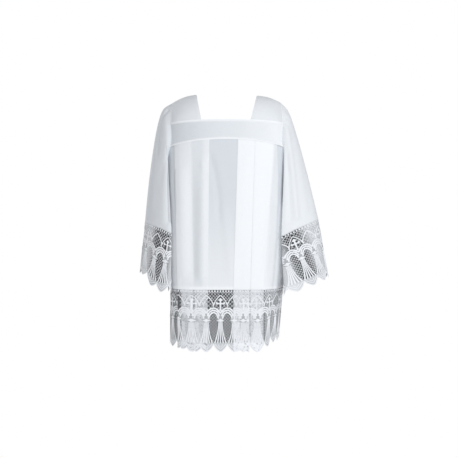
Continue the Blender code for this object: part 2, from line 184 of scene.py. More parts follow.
pleats = {
    # one row for each fold, left to right: x at the yoke, x at the hem, layer after it
    "folds": [(-121, -110, 1), (-160, -150, 0), (-58, -62, -1), (-101, -105, -2),
              (80, 73, -1), (37, 21, 0), (153, 119, 1), (93, 77, 2)],
    "guides": [(-135, -124), (-80, -85), (-10, -21), (60, 45), (123, 96)],  # further lines between them
    "clearance": 4,  # how near a guide or a layer's edge comes to a fold
    "layerTop": 1.5, "layerHem": 2.6, "faceLayer": 2,
    "turnSteps": 6,  # points round a fold
    "pressed": 0.25,  # how closely the layers lie once they are pressed
    # beside the pleats: share of the way to the side seam, how far out at the yoke and the hem
    "left": (-174, -161, [(0.0, 3, 5.2), (0.05, -2, -8), (0.35, -2, -6), (0.7, -1, -3), (1.0, 0, 0)]),
    "right": (160, 120, [(0.0, 3, 5.2), (0.33, -1, -18), (0.67, -1, -17), (1.0, 0, 0)]),
    "crossX": -21,  # the lace's first cross column
    # painted shade on the upper layers, heaviest on the left pleats and none from the middle rightwards: x at
    # the yoke, x at the hem, tone
    "upperShade": [(-160, -150, 0.35), (-124, -114, 0.35), (-112, -102, 0.75), (-84, -84, 0.75), (-70, -74, 0.35),
             (-58, -62, 0.35), (37, 21, 0.0)],
}


def layerPoint(line, layer, inset=0.0, onFold=False):
    return [line[0], line[1], inset, layer * pleats["layerTop"], layer * pleats["layerHem"], 0, onFold]


def guidePoints(start, end, layer):
    reach = pleats["clearance"]
    lows = [min(start[k], end[k]) + reach for k in (0, 1)]
    highs = [max(start[k], end[k]) - reach for k in (0, 1)]
    found = []
    for line in pleats["guides"] + [fold[:2] for fold in pleats["folds"]]:
        between = all(lows[k] < line[k] < highs[k] for k in (0, 1))
        if between and not any(abs(line[1] - point[1]) < reach for point in found):
            found.append(layerPoint(line, layer))
    return sorted(found, key=lambda point: point[1], reverse=end[1] < start[1])


def sidePoints(side):
    xTop, xHem, rows = side
    return [[xTop, xHem, 0, outTop, outHem, share, False] for share, outTop, outHem in rows]


def pleatPath():
    # the panel's line from side seam to side seam, with each fold rounded
    path = sidePoints(pleats["left"])[::-1]
    before, layerIn = pleats["left"], pleats["faceLayer"]
    path += guidePoints(pleats["left"], pleats["folds"][0], layerIn)
    followers = pleats["folds"][1:] + [pleats["right"]]
    for fold, following in zip(pleats["folds"], followers):
        heading = math.copysign(1, fold[1] - before[1])
        radius = abs(fold[2] - layerIn) / 2
        for inset, layer in ((-heading * radius, layerIn), (0, (layerIn + fold[2]) / 2),
                             (-heading * radius, fold[2])):
            path.append(layerPoint(fold, layer, inset, True))
        path += guidePoints(fold, following, fold[2])
        before, layerIn = fold, fold[2]
    return np.array(path + sidePoints(pleats["right"]), float)


def downPart(z):
    top = levels["yokeSeam"][0]
    return np.clip((top - z) / (top - body["hem"]), 0, 1)


def pathPlace(points, z, pressed):
    # where rows of the path lie at height z: t and how far out
    down = downPart(z)
    step = mix(pleats["layerTop"], pleats["layerHem"], down) * pressed
    x = mix(points[..., 0], points[..., 1], down) + points[..., 2] * step
    t = mix(tAtX(x, z), tAtArmhole(z, points[..., 1] < 0), points[..., 5])
    out = mix(points[..., 3], points[..., 4], down)
    return t, np.where(points[..., 5] == 0, out * pressed, out)


def flatLengths(path):
    z = np.full(len(path), body["hem"])
    t, out = pathPlace(path, z, 1.0)
    lengths = runLengths(bodyPoint(t, z, front, out))
    middle = [n for n, row in enumerate(path) if row[3] < 0 and row[1] == pleats["crossX"]][0]
    return lengths - lengths[middle]


def roundedPath(path, lengths):
    # swap each fold's three points for a half circle of points
    rows, places, n = [], [], 0
    while n < len(path):
        if not path[n][6]:
            rows.append(path[n])
            places.append(lengths[n])
            n += 1
            continue
        first, middle, last = path[n:n + 3]
        for part in evenly(0, 1, pleats["turnSteps"]):
            turn = math.pi * (part - 0.5)
            row = middle.copy()
            row[2] = first[2] * (1 - math.cos(turn))
            row[3:5] = mix(first[3:5], last[3:5], (1 + math.sin(turn)) / 2)
            rows.append(row)
            places.append(np.interp(part, (0, 0.5, 1), lengths[n:n + 3]))
        n += 3
    return np.array(rows), np.array(places)


plainPath = pleatPath()
plainU = flatLengths(plainPath)
path, pathU = roundedPath(plainPath, plainU)


def pathSpot(u):
    # the path's rows before and after flat distance u, and how far between them it lies
    index = np.clip(np.searchsorted(pathU, u) - 1, 0, len(pathU) - 2)
    return path[index], path[index + 1], (u - pathU[index]) / (pathU[index + 1] - pathU[index])


def panelPoint(u, z, face, lift=0.0):
    # flat distance u along the pleated panel, at height z
    row0, row1, part = pathSpot(u)
    t0, out0 = pathPlace(row0, z, pleats["pressed"])
    t1, out1 = pathPlace(row1, z, pleats["pressed"])
    inPleats = (row0[:, 5] == 0) & (row1[:, 5] == 0)
    evenX = mix(bodyPoint(t0, z, face)[:, 0], bodyPoint(t1, z, face)[:, 0], part)
    evenTurn = mix(turnAt(t0, z), turnAt(t1, z), part)
    t = np.where(inPleats, tAtX(evenX, z), tAtTurn(evenTurn, z))
    return bodyPoint(t, z, face, mix(out0, out1, part) + lift)


def layerAt(u):
    return np.interp(u, pathU, path[:, 3]) / pleats["layerTop"]


def singleLayerShade(u, x, down):
    # 1 where one layer lies alone: in the recess in the middle and at both sides; these places get painted
    #                               shade, the shaded inside seen through one layer
    foldX = [mix(fold[0], fold[1], down) for fold in pleats["folds"]]
    reach = pleats["clearance"]
    recess = (layerAt(u) < -1.5) & (x > foldX[2] - reach) & (x < foldX[5] + reach)
    return (recess | (x < foldX[1]) | (x > foldX[6])).astype(float)


def undermost(u):
    # where the cloth lies beneath all its folds
    x = np.interp(u, pathU, path[:, 1])
    outer = (x < pleats["folds"][0][1]) | (x > pleats["folds"][7][1])
    return np.where(outer, layerAt(u) < 0.3, layerAt(u) < -1.5)


def outermostAt(x):
    # how far out the top layer lies at the yoke
    found = np.full(len(x), -np.inf)
    for a, b in zip(plainPath, plainPath[1:]):
        over = (x > min(a[0], b[0])) & (x <= max(a[0], b[0])) & (a[5] == 0)
        found = np.where(over, np.maximum(found, max(a[3], b[3]) * pleats["pressed"]), found)
    return np.where(np.isinf(found), pleats["faceLayer"] * pleats["layerTop"] * pleats["pressed"], found)


print("form worked out,", len(path), "lines down each panel")


# Each crease is a line of (x, z) points as seen from the front, then its height (a trough is
# negative), its width and how far it fades at its start and end.

creases = {
    "skirtFront": [
        ([(-80, -180), (-82, -450), (-85, -640)], 5.4, 15, 200, 30),
        ([(-118, -180), (-116, -450), (-112, -640)], -5.0, 14, 200, 60),
        ([(-86, -228), (-74, -280)], 2.0, 6, 15, 25),
        ([(-59, -200), (-39, -282), (-29, -348), (-24, -470)], -3.6, 10, 30, 80),
        ([(-10, -360), (14, -640)], 1.8, 14, 60, 60),
        ([(-150, -240), (-148, -440), (-147, -640)], 2.4, 16, 40, 40),
        ([(152, -190), (136, -470), (127, -610)], 2.6, 10, 40, 40),
        ([(159, -300), (171, -400)], 1.8, 9, 40, 40),
        ([(60, -200), (48, -400), (40, -560)], 1.2, 22, 60, 80),
        ([(188, -330), (188, -640)], 8.0, 15, 100, 30),
    ],
    "skirtBack": [
        ([(84, -230), (82, -430), (80, -600)], 4.0, 15, 90, 60),
        ([(116, -230), (112, -430), (108, -600)], -3.4, 13, 90, 60),
        ([(70, -205), (44, -290), (30, -380)], -2.4, 11, 30, 80),
        ([(-6, -330), (-20, -600)], 1.8, 15, 70, 60),
        ([(-60, -210), (-52, -380), (-46, -560)], 1.6, 18, 50, 90),
        ([(148, -230), (146, -430), (141, -640)], 2.4, 16, 40, 40),
        ([(-150, -200), (-140, -420), (-134, -590)], 2.4, 12, 50, 60),
        ([(-166, -290), (-172, -420)], 1.8, 9, 40, 50),
    ],
    "yokeFront": [
        ([(-120, -118), (-60, -135), (0, -139)], 0.8, 8, 30, 60),
        ([(150, -112), (120, -132), (80, -146)], 0.9, 7, 20, 30),
    ],
    "yokeBack": [([(110, -105), (50, -122), (-30, -128)], 0.8, 9, 30, 60)],
}


def creaseHeight(lines, x, z):
    total, here = np.zeros(len(x)), np.stack([x, z], -1)
    for line, height, width, fadeStart, fadeEnd in lines:
        ends = np.array(line, float)
        lengths = runLengths(ends)
        nearest, along = np.full(len(x), np.inf), np.zeros(len(x))
        for start, end, passed, after in zip(ends, ends[1:], lengths, lengths[1:]):
            ahead = unit(end - start)
            reach = np.clip((here - start) @ ahead, 0, after - passed)
            far = np.linalg.norm(here - start - reach[:, None] * ahead, axis=1)
            along = np.where(far < nearest, passed + reach, along)
            nearest = np.minimum(far, nearest)
        fade = smooth(along / fadeStart) * smooth((lengths[-1] - along) / fadeEnd)
        total += height * fade * np.exp(-(nearest / width) ** 2)
    return total


def addPiece(name, mesh):
    piece = bpy.data.objects.new(name, mesh)
    bpy.context.scene.collection.objects.link(piece)
    return piece


def makeActive(piece):
    bpy.ops.object.select_all(action="DESELECT")
    piece.select_set(True)
    bpy.context.view_layer.objects.active = piece


def vectors(items, key):
    found = np.zeros(len(items) * 3)
    items.foreach_get(key, found)
    return found.reshape(-1, 3)


def setVectors(items, key, found):
    items.foreach_set(key, np.asarray(found).astype(np.float32).ravel())


def outwardFrom(place, a, b, reach, limitsA=(-np.inf, np.inf), limitsB=(-np.inf, np.inf)):
    # the unit normal of a surface that two places, a and b, run over
    alongA = place(np.clip(a + reach[0], *limitsA), b) - place(np.clip(a - reach[0], *limitsA), b)
    alongB = place(a, np.clip(b + reach[1], *limitsB)) - place(a, np.clip(b - reach[1], *limitsB))
    return unit(np.cross(alongA, alongB))


def makeSheet(name, look, form, flip, closed=False):
    # a grid pulled into its form: form takes arrays of column and row places and gives each point's
    # place, its place on the flat cloth and how much painted shade it gets: the shaded inside seen through
    # one layer, and sides turned from the light
    columns, rows = np.array(look["columns"]), np.array(look["rows"])
    bpy.ops.object.select_all(action="DESELECT")
    bpy.ops.mesh.primitive_grid_add(x_subdivisions=len(columns) - 1, y_subdivisions=len(rows) - 1,
                                    size=2, calc_uvs=True)
    piece = bpy.context.object
    mesh = piece.data
    piece.name = mesh.name = name
    grid = vectors(mesh.vertices, "co")
    column = np.rint((grid[:, 0] + 1) / 2 * (len(columns) - 1)).astype(int)
    row = np.rint((1 - grid[:, 1]) / 2 * (len(rows) - 1)).astype(int)
    places, flat, paintedShade = form(columns[column], rows[row])
    setVectors(mesh.vertices, "co", places * mm)
    mesh.update()
    corners = np.zeros(len(mesh.loops), int)
    mesh.loops.foreach_get("vertex_index", corners)
    setVectors(mesh.uv_layers.active.data, "uv", np.stack(flat, axis=-1)[corners] * mm)
    setVectors(mesh.attributes.new("singleLayerShade", "FLOAT", "POINT").data, "value", paintedShade)
    if flip:
        mesh.flip_normals()
    makeActive(piece)
    if closed:
        # the first and the last column become one
        bpy.ops.object.mode_set(mode="EDIT")
        bpy.ops.mesh.select_all(action="SELECT")
        bpy.ops.mesh.remove_doubles(threshold=0.00002)
        bpy.ops.object.mode_set(mode="OBJECT")
    mesh.materials.append(clothWhite)
    bpy.ops.object.modifier_add(type="SOLIDIFY")
    thicken = piece.modifiers[-1]
    thicken.thickness, thicken.offset = look["wall"] * mm, 0
    bpy.ops.object.modifier_apply(modifier=thicken.name)
    bpy.ops.object.shade_smooth_by_angle(angle=math.radians(50))
    return piece


def material(name):
    made = bpy.data.materials.new(name)
    made.use_nodes = True
    return made, made.node_tree, made.node_tree.nodes["Principled BSDF"]


def setInputs(tree, node, inputs):
    # each input gets another node's output or a value; three numbers are a color
    for key, value in inputs.items():
        if isinstance(value, bpy.types.NodeSocket):
            tree.links.new(value, node.inputs[key])
        else:
            node.inputs[key].default_value = (*value, 1) if isinstance(value, tuple) else value


def addNode(tree, kind, inputs, output=0, **settings):
    node = tree.nodes.new("ShaderNode" + kind)
    for key, value in settings.items():
        setattr(node, key, value)
    setInputs(tree, node, inputs)
    return node.outputs[output]


def addTint(tree, factor, a, b, blend="MIX"):
    return addNode(tree, "Mix", {"Factor": factor, "A": a, "B": b}, "Result", data_type="RGBA",
                   blend_type=blend)


def clothFinish(name, cloth):
    # a fine plain weave on the flat cloth's own UV map, in metres
    made, tree, shader = material(name)
    uv = addNode(tree, "UVMap", {}, uv_map="UVMap")
    wave = {"Vector": uv, "Scale": 0.314 / (cloth["thread"] * mm), "Distortion": 0.6, "Detail": 1,
            "Detail Scale": 0.4}
    weft, warp = (addNode(tree, "TexWave", wave, "Fac", bands_direction=way) for way in ("X", "Y"))
    weave = addNode(tree, "Math", {0: weft, 1: warp}, operation="MULTIPLY")
    slubs = addNode(tree, "TexNoise", {"Vector": uv, "Scale": cloth["slubScale"], "Detail": 4}, "Fac")
    tint = addTint(tree, slubs, cloth["shade"], cloth["color"])
    # painted shade: the attribute below darkens the cloth's colour towards a grey, standing in for the shaded
    # inside seen through the cloth and for sides turned from the light
    paintedShade = addNode(tree, "Attribute", {}, "Fac", attribute_name="singleLayerShade")
    bump = addNode(tree, "Bump", {"Strength": cloth["weaveBump"], "Distance": cloth["thread"] * mm,
                                  "Height": weave})
    crumple = addNode(tree, "TexNoise", {"Vector": uv, "Scale": cloth["crumpleScale"], "Detail": 3}, "Fac")
    soft = addNode(tree, "Bump", {"Strength": cloth["crumple"], "Distance": 2 * mm, "Height": crumple,
                                  "Normal": bump})
    setInputs(tree, shader, {
        "Base Color": addTint(tree, paintedShade, tint, cloth["paintedShadeColor"], "MULTIPLY"), "Normal": soft,
        "Roughness": cloth["roughness"], "Sheen Weight": cloth["sheen"], "Sheen Roughness": 0.5,
        "Specular IOR Level": 0.25})
    return made


# the third colour is painted shade, the grey that the cloth is darkened to where the attribute asks for it
clothLook = {"color": (0.87, 0.89, 0.91), "shade": (0.845, 0.865, 0.885), "paintedShadeColor": (0.77, 0.79, 0.815),
             "thread": 0.5, "slubScale": 60,
             "weaveBump": 0.35, "crumpleScale": 22, "crumple": 0.12, "roughness": 0.8, "sheen": 0.12}
clothWhite = clothFinish("fineWhiteCloth", clothLook)


def threadFinish(name, color, roughness):
    # twisted thread: fine slanting ridges
    made, tree, shader = material(name)
    place = addNode(tree, "TexCoord", {}, "Object")
    twist = addNode(tree, "TexWave", {"Vector": place, "Scale": 420, "Distortion": 2.5, "Detail Scale": 60},
                    "Fac", bands_direction="DIAGONAL")
    bump = addNode(tree, "Bump", {"Strength": 0.5, "Distance": 0.3 * mm, "Height": twist})
    tint = addTint(tree, twist, tuple(value * 0.9 for value in color), color)
    setInputs(tree, shader, {"Base Color": tint, "Normal": bump, "Roughness": roughness,
                             "Sheen Weight": 0.1})
    return made


laceThread = threadFinish("laceThread", (0.88, 0.90, 0.93), 0.6)
stitchThread = threadFinish("stitchThread", (0.90, 0.92, 0.95), 0.5)


def netFinish(name, dark, light):
    # the net is painted from dark to light by the attribute that its maker gives each point; its dark is
    # painted shade, the garment's shaded inside seen through the net
    made, tree, shader = material(name)
    tone = addNode(tree, "Attribute", {}, "Fac", attribute_name="netShadeTone")
    setInputs(tree, shader, {"Base Color": addTint(tree, tone, dark, light), "Roughness": 0.8})
    return made


# painted shade: the dark colour, nearly black, stands for the shaded inside of the garment
netThread = netFinish("netThread", (0.035, 0.038, 0.044), (0.87, 0.89, 0.92))
print("finishes made")


skirt = {"columns": finePlaces(list(pathU), 5.0), "rows": evenly(0, 1, 96), "wall": 0.4,
         "seamFade": 60,  # creases die out over this height at the yoke, where the seam holds the cloth
         # how strongly the painted shade of a single layer shows at the hem, and beside the pleats
         "paintedShadeAtHem": 0.4, "paintedShadeAtSides": 0.5,
         "hemBand": 8.0}  # turned up, so it is white


def upperShadeAt(x, down):
    # painted shade of the upper layers across the panel
    upperShade = np.zeros(len(x))
    for start, end in zip(pleats["upperShade"], pleats["upperShade"][1:]):
        x0, x1 = (mix(row[0], row[1], down) for row in (start, end))
        inside = (x >= x0) & (x < x1)
        upperShade = np.where(inside, mix(start[2], end[2], (x - x0) / (x1 - x0)), upperShade)
    return upperShade


def makePanel(name, face):
    def form(u, down):
        row0, row1, part = pathSpot(u)
        middleZ, endZ = (np.full(len(u), level) for level in levels["yokeSeam"])
        t0, t1 = (mix(tAtX(row[:, 0], middleZ), tAtArmhole(endZ, row[:, 1] < 0), row[:, 5])
                  for row in (row0, row1))
        z = mix(levelZ(levels["yokeSeam"], mix(t0, t1, part)), body["hem"], down)
        x, drop, layer = panelPoint(u, z, face)[:, 0], downPart(z), layerAt(u)
        crease = creaseHeight(creases[name], x, z) * smooth((levels["yokeSeam"][0] - z) / skirt["seamFade"])
        # painted shade: darker where one layer lies alone, less beside the pleats and towards the hem, with
        # the left pleats' upper layers shaded too; the turned-up hem band stays white
        paintedShade = singleLayerShade(u, x, drop) * np.where(layer < 0, 1.0, skirt["paintedShadeAtSides"])
        paintedShade *= mix(1.0, skirt["paintedShadeAtHem"], smooth((drop - 0.3) / 0.7))
        paintedShade = np.where(layer < -1.5, paintedShade, np.maximum(paintedShade, upperShadeAt(x, drop)))
        paintedShade *= smooth((z - body["hem"]) / skirt["hemBand"] - 0.6)
        return panelPoint(u, z, face, crease), (u, -z), paintedShade

    return makeSheet(name, skirt, form, face == back)


skirtFront = makePanel("skirtFront", front)
skirtBack = makePanel("skirtBack", back)
print("pleated panels made")


yoke = {"columns": evenly(0, 1, 95), "rows": evenly(0, 1, 44), "wall": 0.9, "halfFlat": 200,
        "edge": 5.5, "edgeRise": 0.9, "groove": 0.5,
        "overlap": 1.5,  # it lies over the pleats' tops and the shoulder pieces' ends
        "over": 0.5, "overFade": 9,  # how far it stands off them, and over what height that fades
        # painted shade: place across and how dark it is there, darker towards the left as each face is seen
        "paintedShade": [(-90, 1.0), (-45, 0.85), (0, 0.7), (40, 0.5), (100, 0.4), (150, 0.2)]}


def edgeShape(distance, look):
    # a turned edge: a raised band with a shallow groove where it is stitched down
    band = look["edgeRise"] * (1 - smooth((distance - look["edge"] + 1) / 2))
    groove = look["groove"] * np.exp(-((distance - look["edge"] - 0.6) / 0.9) ** 2)
    return band - groove


def makeYoke(name, top, face):
    def form(across, down):
        start = tAtArmhole(mix(top[1], levels["yokeSeam"][1], down))
        t = mix(start, 1 - start, across)
        high, low = levelZ(top, t), levelZ(levels["yokeSeam"], t)
        z = mix(high + yoke["overlap"], low - yoke["overlap"], down)
        fromTop, fromSeam = down * (high - low), (1 - down) * (high - low)
        x, flatX = bodyPoint(t, z, face)[:, 0], mix(-yoke["halfFlat"], yoke["halfFlat"], across)
        lift = edgeShape(fromTop, yoke) + edgeShape(fromSeam, yoke) + creaseHeight(creases[name], x, z)
        lift += (outermostAt(x) + yoke["over"]) * (1 - smooth(fromSeam / yoke["overFade"]))
        lift += yoke["over"] * (1 - smooth(fromTop / yoke["overFade"]))
        # painted shade, darker towards the left and none along the turned edges
        paintedShade = lookUp(flatX * -face, yoke["paintedShade"])
        paintedShade *= smooth(np.minimum(fromTop, fromSeam) / yoke["edge"] - 0.6)
        return bodyPoint(t, z, face, lift), (flatX, -z), paintedShade

    return makeSheet(name, yoke, form, face == back)


yokeFront = makeYoke("yokeFront", levels["frontYokeTop"], front)
yokeBack = makeYoke("yokeBack", levels["backYokeTop"], back)

strap = {
    # corners of the square neck along X: front, back, top; then the top's height
    -1: (-84, -99, -104, 0), 1: (78, 95, 102, -3),
    "columns": evenly(0, 1, 34), "rows": evenly(-1, 1, 100), "wall": 0.9,
    "flat": (100, 150), "seamGap": 0.15,
    # the last value on the next line is painted shade, the shaded inside seen through the shoulder piece
    "edge": 5.0, "edgeRise": 0.6, "groove": 0.45, "paintedShade": 0.5,
    "ripple": 0.8, "rippleAt": 0.72,  # gentle waves along it, nearer to the armhole
}


def strapPoint(side, across, along):
    # across runs from the neck to the armhole, along from -1 (front yoke) over the top to 1
    frontX, backX, topX, topZ = strap[side]
    inFront, up = along < 0, 1 - np.abs(along)
    cornerX = np.where(inFront, frontX, backX)
    cornerZ = np.where(inFront, levels["frontYokeTop"][0], levels["backYokeTop"][0])
    endZ = levels["frontYokeTop"][1]
    neckT, endT = tAtX(cornerX, cornerZ), tAtArmhole(np.full(len(up), endZ), side < 0)
    zero, one = 0.0 * up, 1 + 0.0 * up
    faced = np.stack([one, np.where(inFront, front, back), one], -1)

    def seam(part):
        t = mix(neckT, endT, part)
        return bodyPoint(t, mix(cornerZ, endZ, levelFall(t, endZ)) + strap["seamGap"], 1) * faced

    def ridge(part):
        rise = armhole["rise"] * np.sin(math.pi * part)
        x = mix(topX, side * armhole["shoulderX"], part)
        return np.stack([x, zero, mix(topZ, armholeZ(0), part) + rise], -1)

    low, turn = seam(zero), up * math.pi / 2
    neckEdge = np.stack([mix(low[:, 0], topX, np.sin(turn)), low[:, 1] * np.cos(turn),
                         mix(low[:, 2], topZ, np.sin(turn))], -1)
    start = np.arccos((seam(one)[:, 2] - armhole["middle"]) / armhole["halfHeight"])
    armEdge = armholePoint(armholeZ(start * (1 - up)), side) * faced
    keep, part = (np.cos(turn) ** 2)[:, None], across[:, None]
    sides = mix(neckEdge, armEdge, part)
    ends = seam(across) * keep + ridge(across) * (1 - keep)
    corners = mix(seam(zero), seam(one), part) * keep + mix(ridge(zero), ridge(one), part) * (1 - keep)
    return sides + ends - corners


def strapSurface(side, across, along):
    # places and their outward directions
    place = partial(strapPoint, side)
    return place(across, along), outwardFrom(place, across, along, (0.01, 0.01), (0, 1), (-1, 1)) * -side


def makeStrap(name, side):
    def form(across, along):
        point, out = strapSurface(side, across, along)
        width, length = strap["flat"]
        ripple = np.sin(along * 9 + 1.3) * np.exp(-((across - strap["rippleAt"]) / 0.2) ** 2)
        lift = edgeShape(across * width, strap) + strap["ripple"] * ripple
        # painted shade, none along the armhole's edge
        paintedShade = strap["paintedShade"] * smooth((1 - across) * width / strap["edge"] - 0.3)
        return point + out * lift[:, None], (across * width, along * length), paintedShade

    return makeSheet(name, strap, form, side > 0)


strapLeft = makeStrap("strapLeft", -1)
strapRight = makeStrap("strapRight", 1)
print("yokes and shoulder pieces made")


sleeves = {
    # each ring: outermost x and z, innermost x and z, half depth, flatness, wrap
    -1: np.array([(219, -50, 196, -308, 82, 1.1, 13), (238, -105, 199, -332, 90, 1.3, 22),
                  (254, -195, 203, -366, 97, 1.6, 29), (269, -310, 206, -415, 103, 1.9, 33),
                  (281, -434, 207, -480, 107, 2.1, 34)], float),
    1: np.array([(212, -62, 196, -312, 82, 1.1, 13), (240, -145, 200, -345, 91, 1.35, 23),
                 (270, -253, 204, -390, 99, 1.7, 30), (294, -350, 206, -440, 105, 2.0, 34),
                 (312, -425, 207, -490, 109, 2.2, 36)], float),
    "squareOut": {-1: 1.0, 1: 0.7},  # 1 where the outer side is round, less where it is squarer
    # the last value on the next line is painted shade for each sleeve, heavier on the left one, which is
    # turned from the light
    "startOffset": -0.8, "fromBody": 3.0, "paintedShade": {-1: 0.75, 1: 0.45},
    "columns": evenly(0, 2 * math.pi, 132), "rows": evenly(0, 5, 91), "wall": 0.5, "flat": (560, 90),
    # creases as seen from the front: line of (distance out from the middle, z), height, width, fades
    "creases": {
        (-1, front): [([(190, -180), (191, -300), (194, -450)], 6.0, 11, 50, 20),
                      ([(236, -150), (246, -270), (254, -420)], -2.4, 12, 50, 40),
                      ([(196, -215), (214, -260), (226, -330)], 1.4, 8, 30, 50),
                      # the seam runs out over the shoulder's end
                      ([(194, -52), (206, -64), (219, -80), (227, -104), (229, -140), (232, -175),
                        (234, -230)], 4.2, 5, 8, 40),
                      ([(203, -178), (201, -232)], 1.2, 3, 6, 10)],
        (1, front): [([(199, -170), (204, -300), (210, -450)], 3.2, 9, 60, 20),
                     ([(194, -104), (202, -144), (208, -187), (214, -240), (219, -290), (224, -340),
                       (233, -440)], -6.0, 9.5, 30, 20),
                     ([(250, -190), (272, -330), (286, -420)], 2.2, 12, 60, 30),
                     ([(186, -46), (199, -56), (207, -74)], 2.6, 4, 8, 10),
                     ([(192, -92), (209, -86)], 2.4, 3.4, 6, 8),
                     ([(192, -240), (208, -275), (224, -345)], 1.3, 8, 30, 50)],
        (-1, back): [([(202, -160), (208, -310), (216, -450)], 3.0, 10, 60, 30),
                     ([(226, -150), (236, -290), (243, -420)], -2.2, 12, 50, 40),
                     ([(186, -92), (206, -106)], 1.2, 4, 8, 10)],
        (1, back): [([(204, -180), (212, -330), (222, -460)], 2.8, 11, 60, 30),
                    ([(236, -180), (252, -310), (262, -430)], -2.4, 12, 60, 30),
                    ([(188, -88), (206, -78)], 1.2, 4, 8, 10)],
    },
}


def ringPoint(ring, angle, side, fall=((0, 0), (1, 1))):
    # angle 0 is outermost, half a turn innermost; ring holds one row or one row for each angle
    outX, outZ, inX, inZ, halfDepth, flatness, wrap = np.moveaxis(np.asarray(ring, float), -1, 0)
    reach = ((1 + np.cos(angle)) / 2) ** flatness
    x = mix(inX, outX, reach) - wrap * np.sin(angle) ** 2
    power = np.where(np.cos(angle) > 0, sleeves["squareOut"][side], 1)
    y = -halfDepth * signedPower(np.sin(angle), power)
    return np.stack([side * x, y, mix(inZ, outZ, lookUp(reach, fall))], axis=-1)


def besideBody(point, angle, side, hold):
    # the inner side of a sleeve hangs against the body
    halfWidth, halfDepth, square, middle = section(point[..., 2])
    deep = np.minimum(np.abs(point[..., 1]) / halfDepth, 1)
    bodyX = side * middle + halfWidth * (1 - deep ** square) ** (1 / square) + sleeves["fromBody"]
    inner = smooth((-np.cos(angle) - 0.04) / 0.3) * hold
    moved = point.copy()
    moved[..., 0] += side * inner * (bodyX - side * point[..., 0])
    return moved


def sleevePoint(side, angle, along):
    # along is 0 at the armhole and counts the rings; a smooth curve runs through them
    z = armholeZ(angle)
    edge = armholePoint(z, side)
    edge[..., 1] = -np.sign(np.sin(angle)) * armholeDepth(z)
    edge[..., 0] += side * sleeves["startOffset"]
    rings = np.stack([edge] + [ringPoint(row, angle, side) for row in sleeves[side]])
    last = len(rings) - 1
    index = np.minimum(along.astype(int), last - 1)
    part = (along - index)[..., None]
    pick = np.arange(len(angle))
    p0, p1 = rings[np.maximum(index - 1, 0), pick], rings[index, pick]
    p2, p3 = rings[index + 1, pick], rings[np.minimum(index + 2, last), pick]
    curve = 2 * p1 + (p2 - p0) * part + (2 * p0 - 5 * p1 + 4 * p2 - p3) * part ** 2
    point = (curve + (3 * p1 - p0 - 3 * p2 + p3) * part ** 3) / 2
    return besideBody(point, angle, side, smooth(along / 0.7))


def sleeveSurface(side, angle, along):
    place = partial(sleevePoint, side)
    out = outwardFrom(place, angle, along, (0.01, 0.02), limitsB=(0, len(sleeves[side]))) * -side
    return place(angle, along), out


def makeSleeve(name, side):
    def form(angle, along):
        point, out = sleeveSurface(side, angle, along)
        lift = np.zeros(len(angle))
        for face in (front, back):
            on = smooth(-face * np.sin(angle) * 2.2)
            lift += on * creaseHeight(sleeves["creases"][(side, face)], side * point[:, 0], point[:, 2])
        girth, length = sleeves["flat"]
        # the sleeve's painted shade lies evenly over all its cloth
        return (point + out * (lift * smooth(along / 0.4))[:, None],
                (angle / (2 * math.pi) * girth, along * length), np.full(len(angle), sleeves["paintedShade"][side]))

    return makeSheet(name, sleeves, form, side < 0, closed=True)


sleeveLeft = makeSleeve("sleeveLeft", -1)
sleeveRight = makeSleeve("sleeveRight", 1)
print("sleeves made")


# The lace is embroidered flat: u along the band, v down from its seam, then its lift. One repeat
# is 90 mm, two arches, and is copied along the band before the band is put in its place.

lace = {
    "repeat": 90.0, "column": 45.0, "height": 202.0,
    # straight slanting threads: how many in a repeat and their width
    "net": (26, 2.0), "archLattice": (7, 1.0), "windowLattice": (9, 0.95),
    "netTop": 2,  # where they start
    "latticeEnds": (74, 172),  # where they end over the arches and in the windows
    "underCords": 3,  # how far they reach under a window's cords
    # window between two columns: depth and half width
    "window": [(77, 0), (85, 9.5), (95, 14.2), (101, 10), (109, 14.5), (123, 12.5), (144, 8.5), (164, 3),
               (171, 0)],
    "cordStep": 4.0,
    # half of the lower edge, from the notch to the point
    "edge": [(22.5, 176.5), (20.8, 181), (17.4, 187), (12.6, 193), (7.4, 198), (3, 201.2), (0, 202)],
    "pointedArch": [(0, 19.4), (3.5, 21.8), (7.5, 25.6), (12.5, 31.6), (17, 38.2), (20, 44.4),
                    (22, 50), (22.5, 55), (22.5, 59)],
    "roundArches": [[(0, 60.5), (8, 62.3), (15, 67), (20, 73.3), (22.5, 78)],
                    [(0, 67.5), (7, 69.3), (13, 74), (16.8, 80.5), (18.6, 87)],
                    [(0, 74.5), (6, 76.8), (11, 82), (14.3, 88.5), (15.6, 95)]],
    "roundCord": 4.9,
    # worked column between two windows: depth and half width
    "waist": [(78, 0.8), (84, 4.2), (90, 7.0), (95, 8.6), (99, 10.5), (103, 10.5), (109, 7.2),
              (118, 7.6), (127, 8.8)],
    "star": [(14.5, 101), (5, 97.8), (0, 94.5), (-5, 97.8), (-14.5, 101), (-5, 104.4), (0, 107.5),
             (5, 104.4)],
    "diamonds": ([(0, 28), (6.5, 35), (0, 40), (-6.5, 35)], [(0, 61), (4.5, 66), (0, 71), (-4.5, 66)]),
    "crossBars": ([(2.2, 29.5), (2.6, 47), (2.2, 66), (-2.2, 66), (-2.6, 47), (-2.2, 29.5)],
                  [(12, 43.4), (12, 47.4), (-12, 47.4), (-12, 43.4)]),
    "scallops": ([(0, 194.5), (5, 191), (12, 184), (18, 177.5)], [(0, 187.5), (4.5, 184), (8, 179)]),
    "strands": 5, "strandEnds": (107.0, 174.0), "strandWidths": (2.448, 4.32),
    "strandSpread": (3.1, 9.2),  # from one strand to the next, at the top and the end
    # the open mesh above the arches: its upper and lower end, from one thread to the next, its slant
    "spandrel": (9.5, 50, 10.5, 0.9),
}


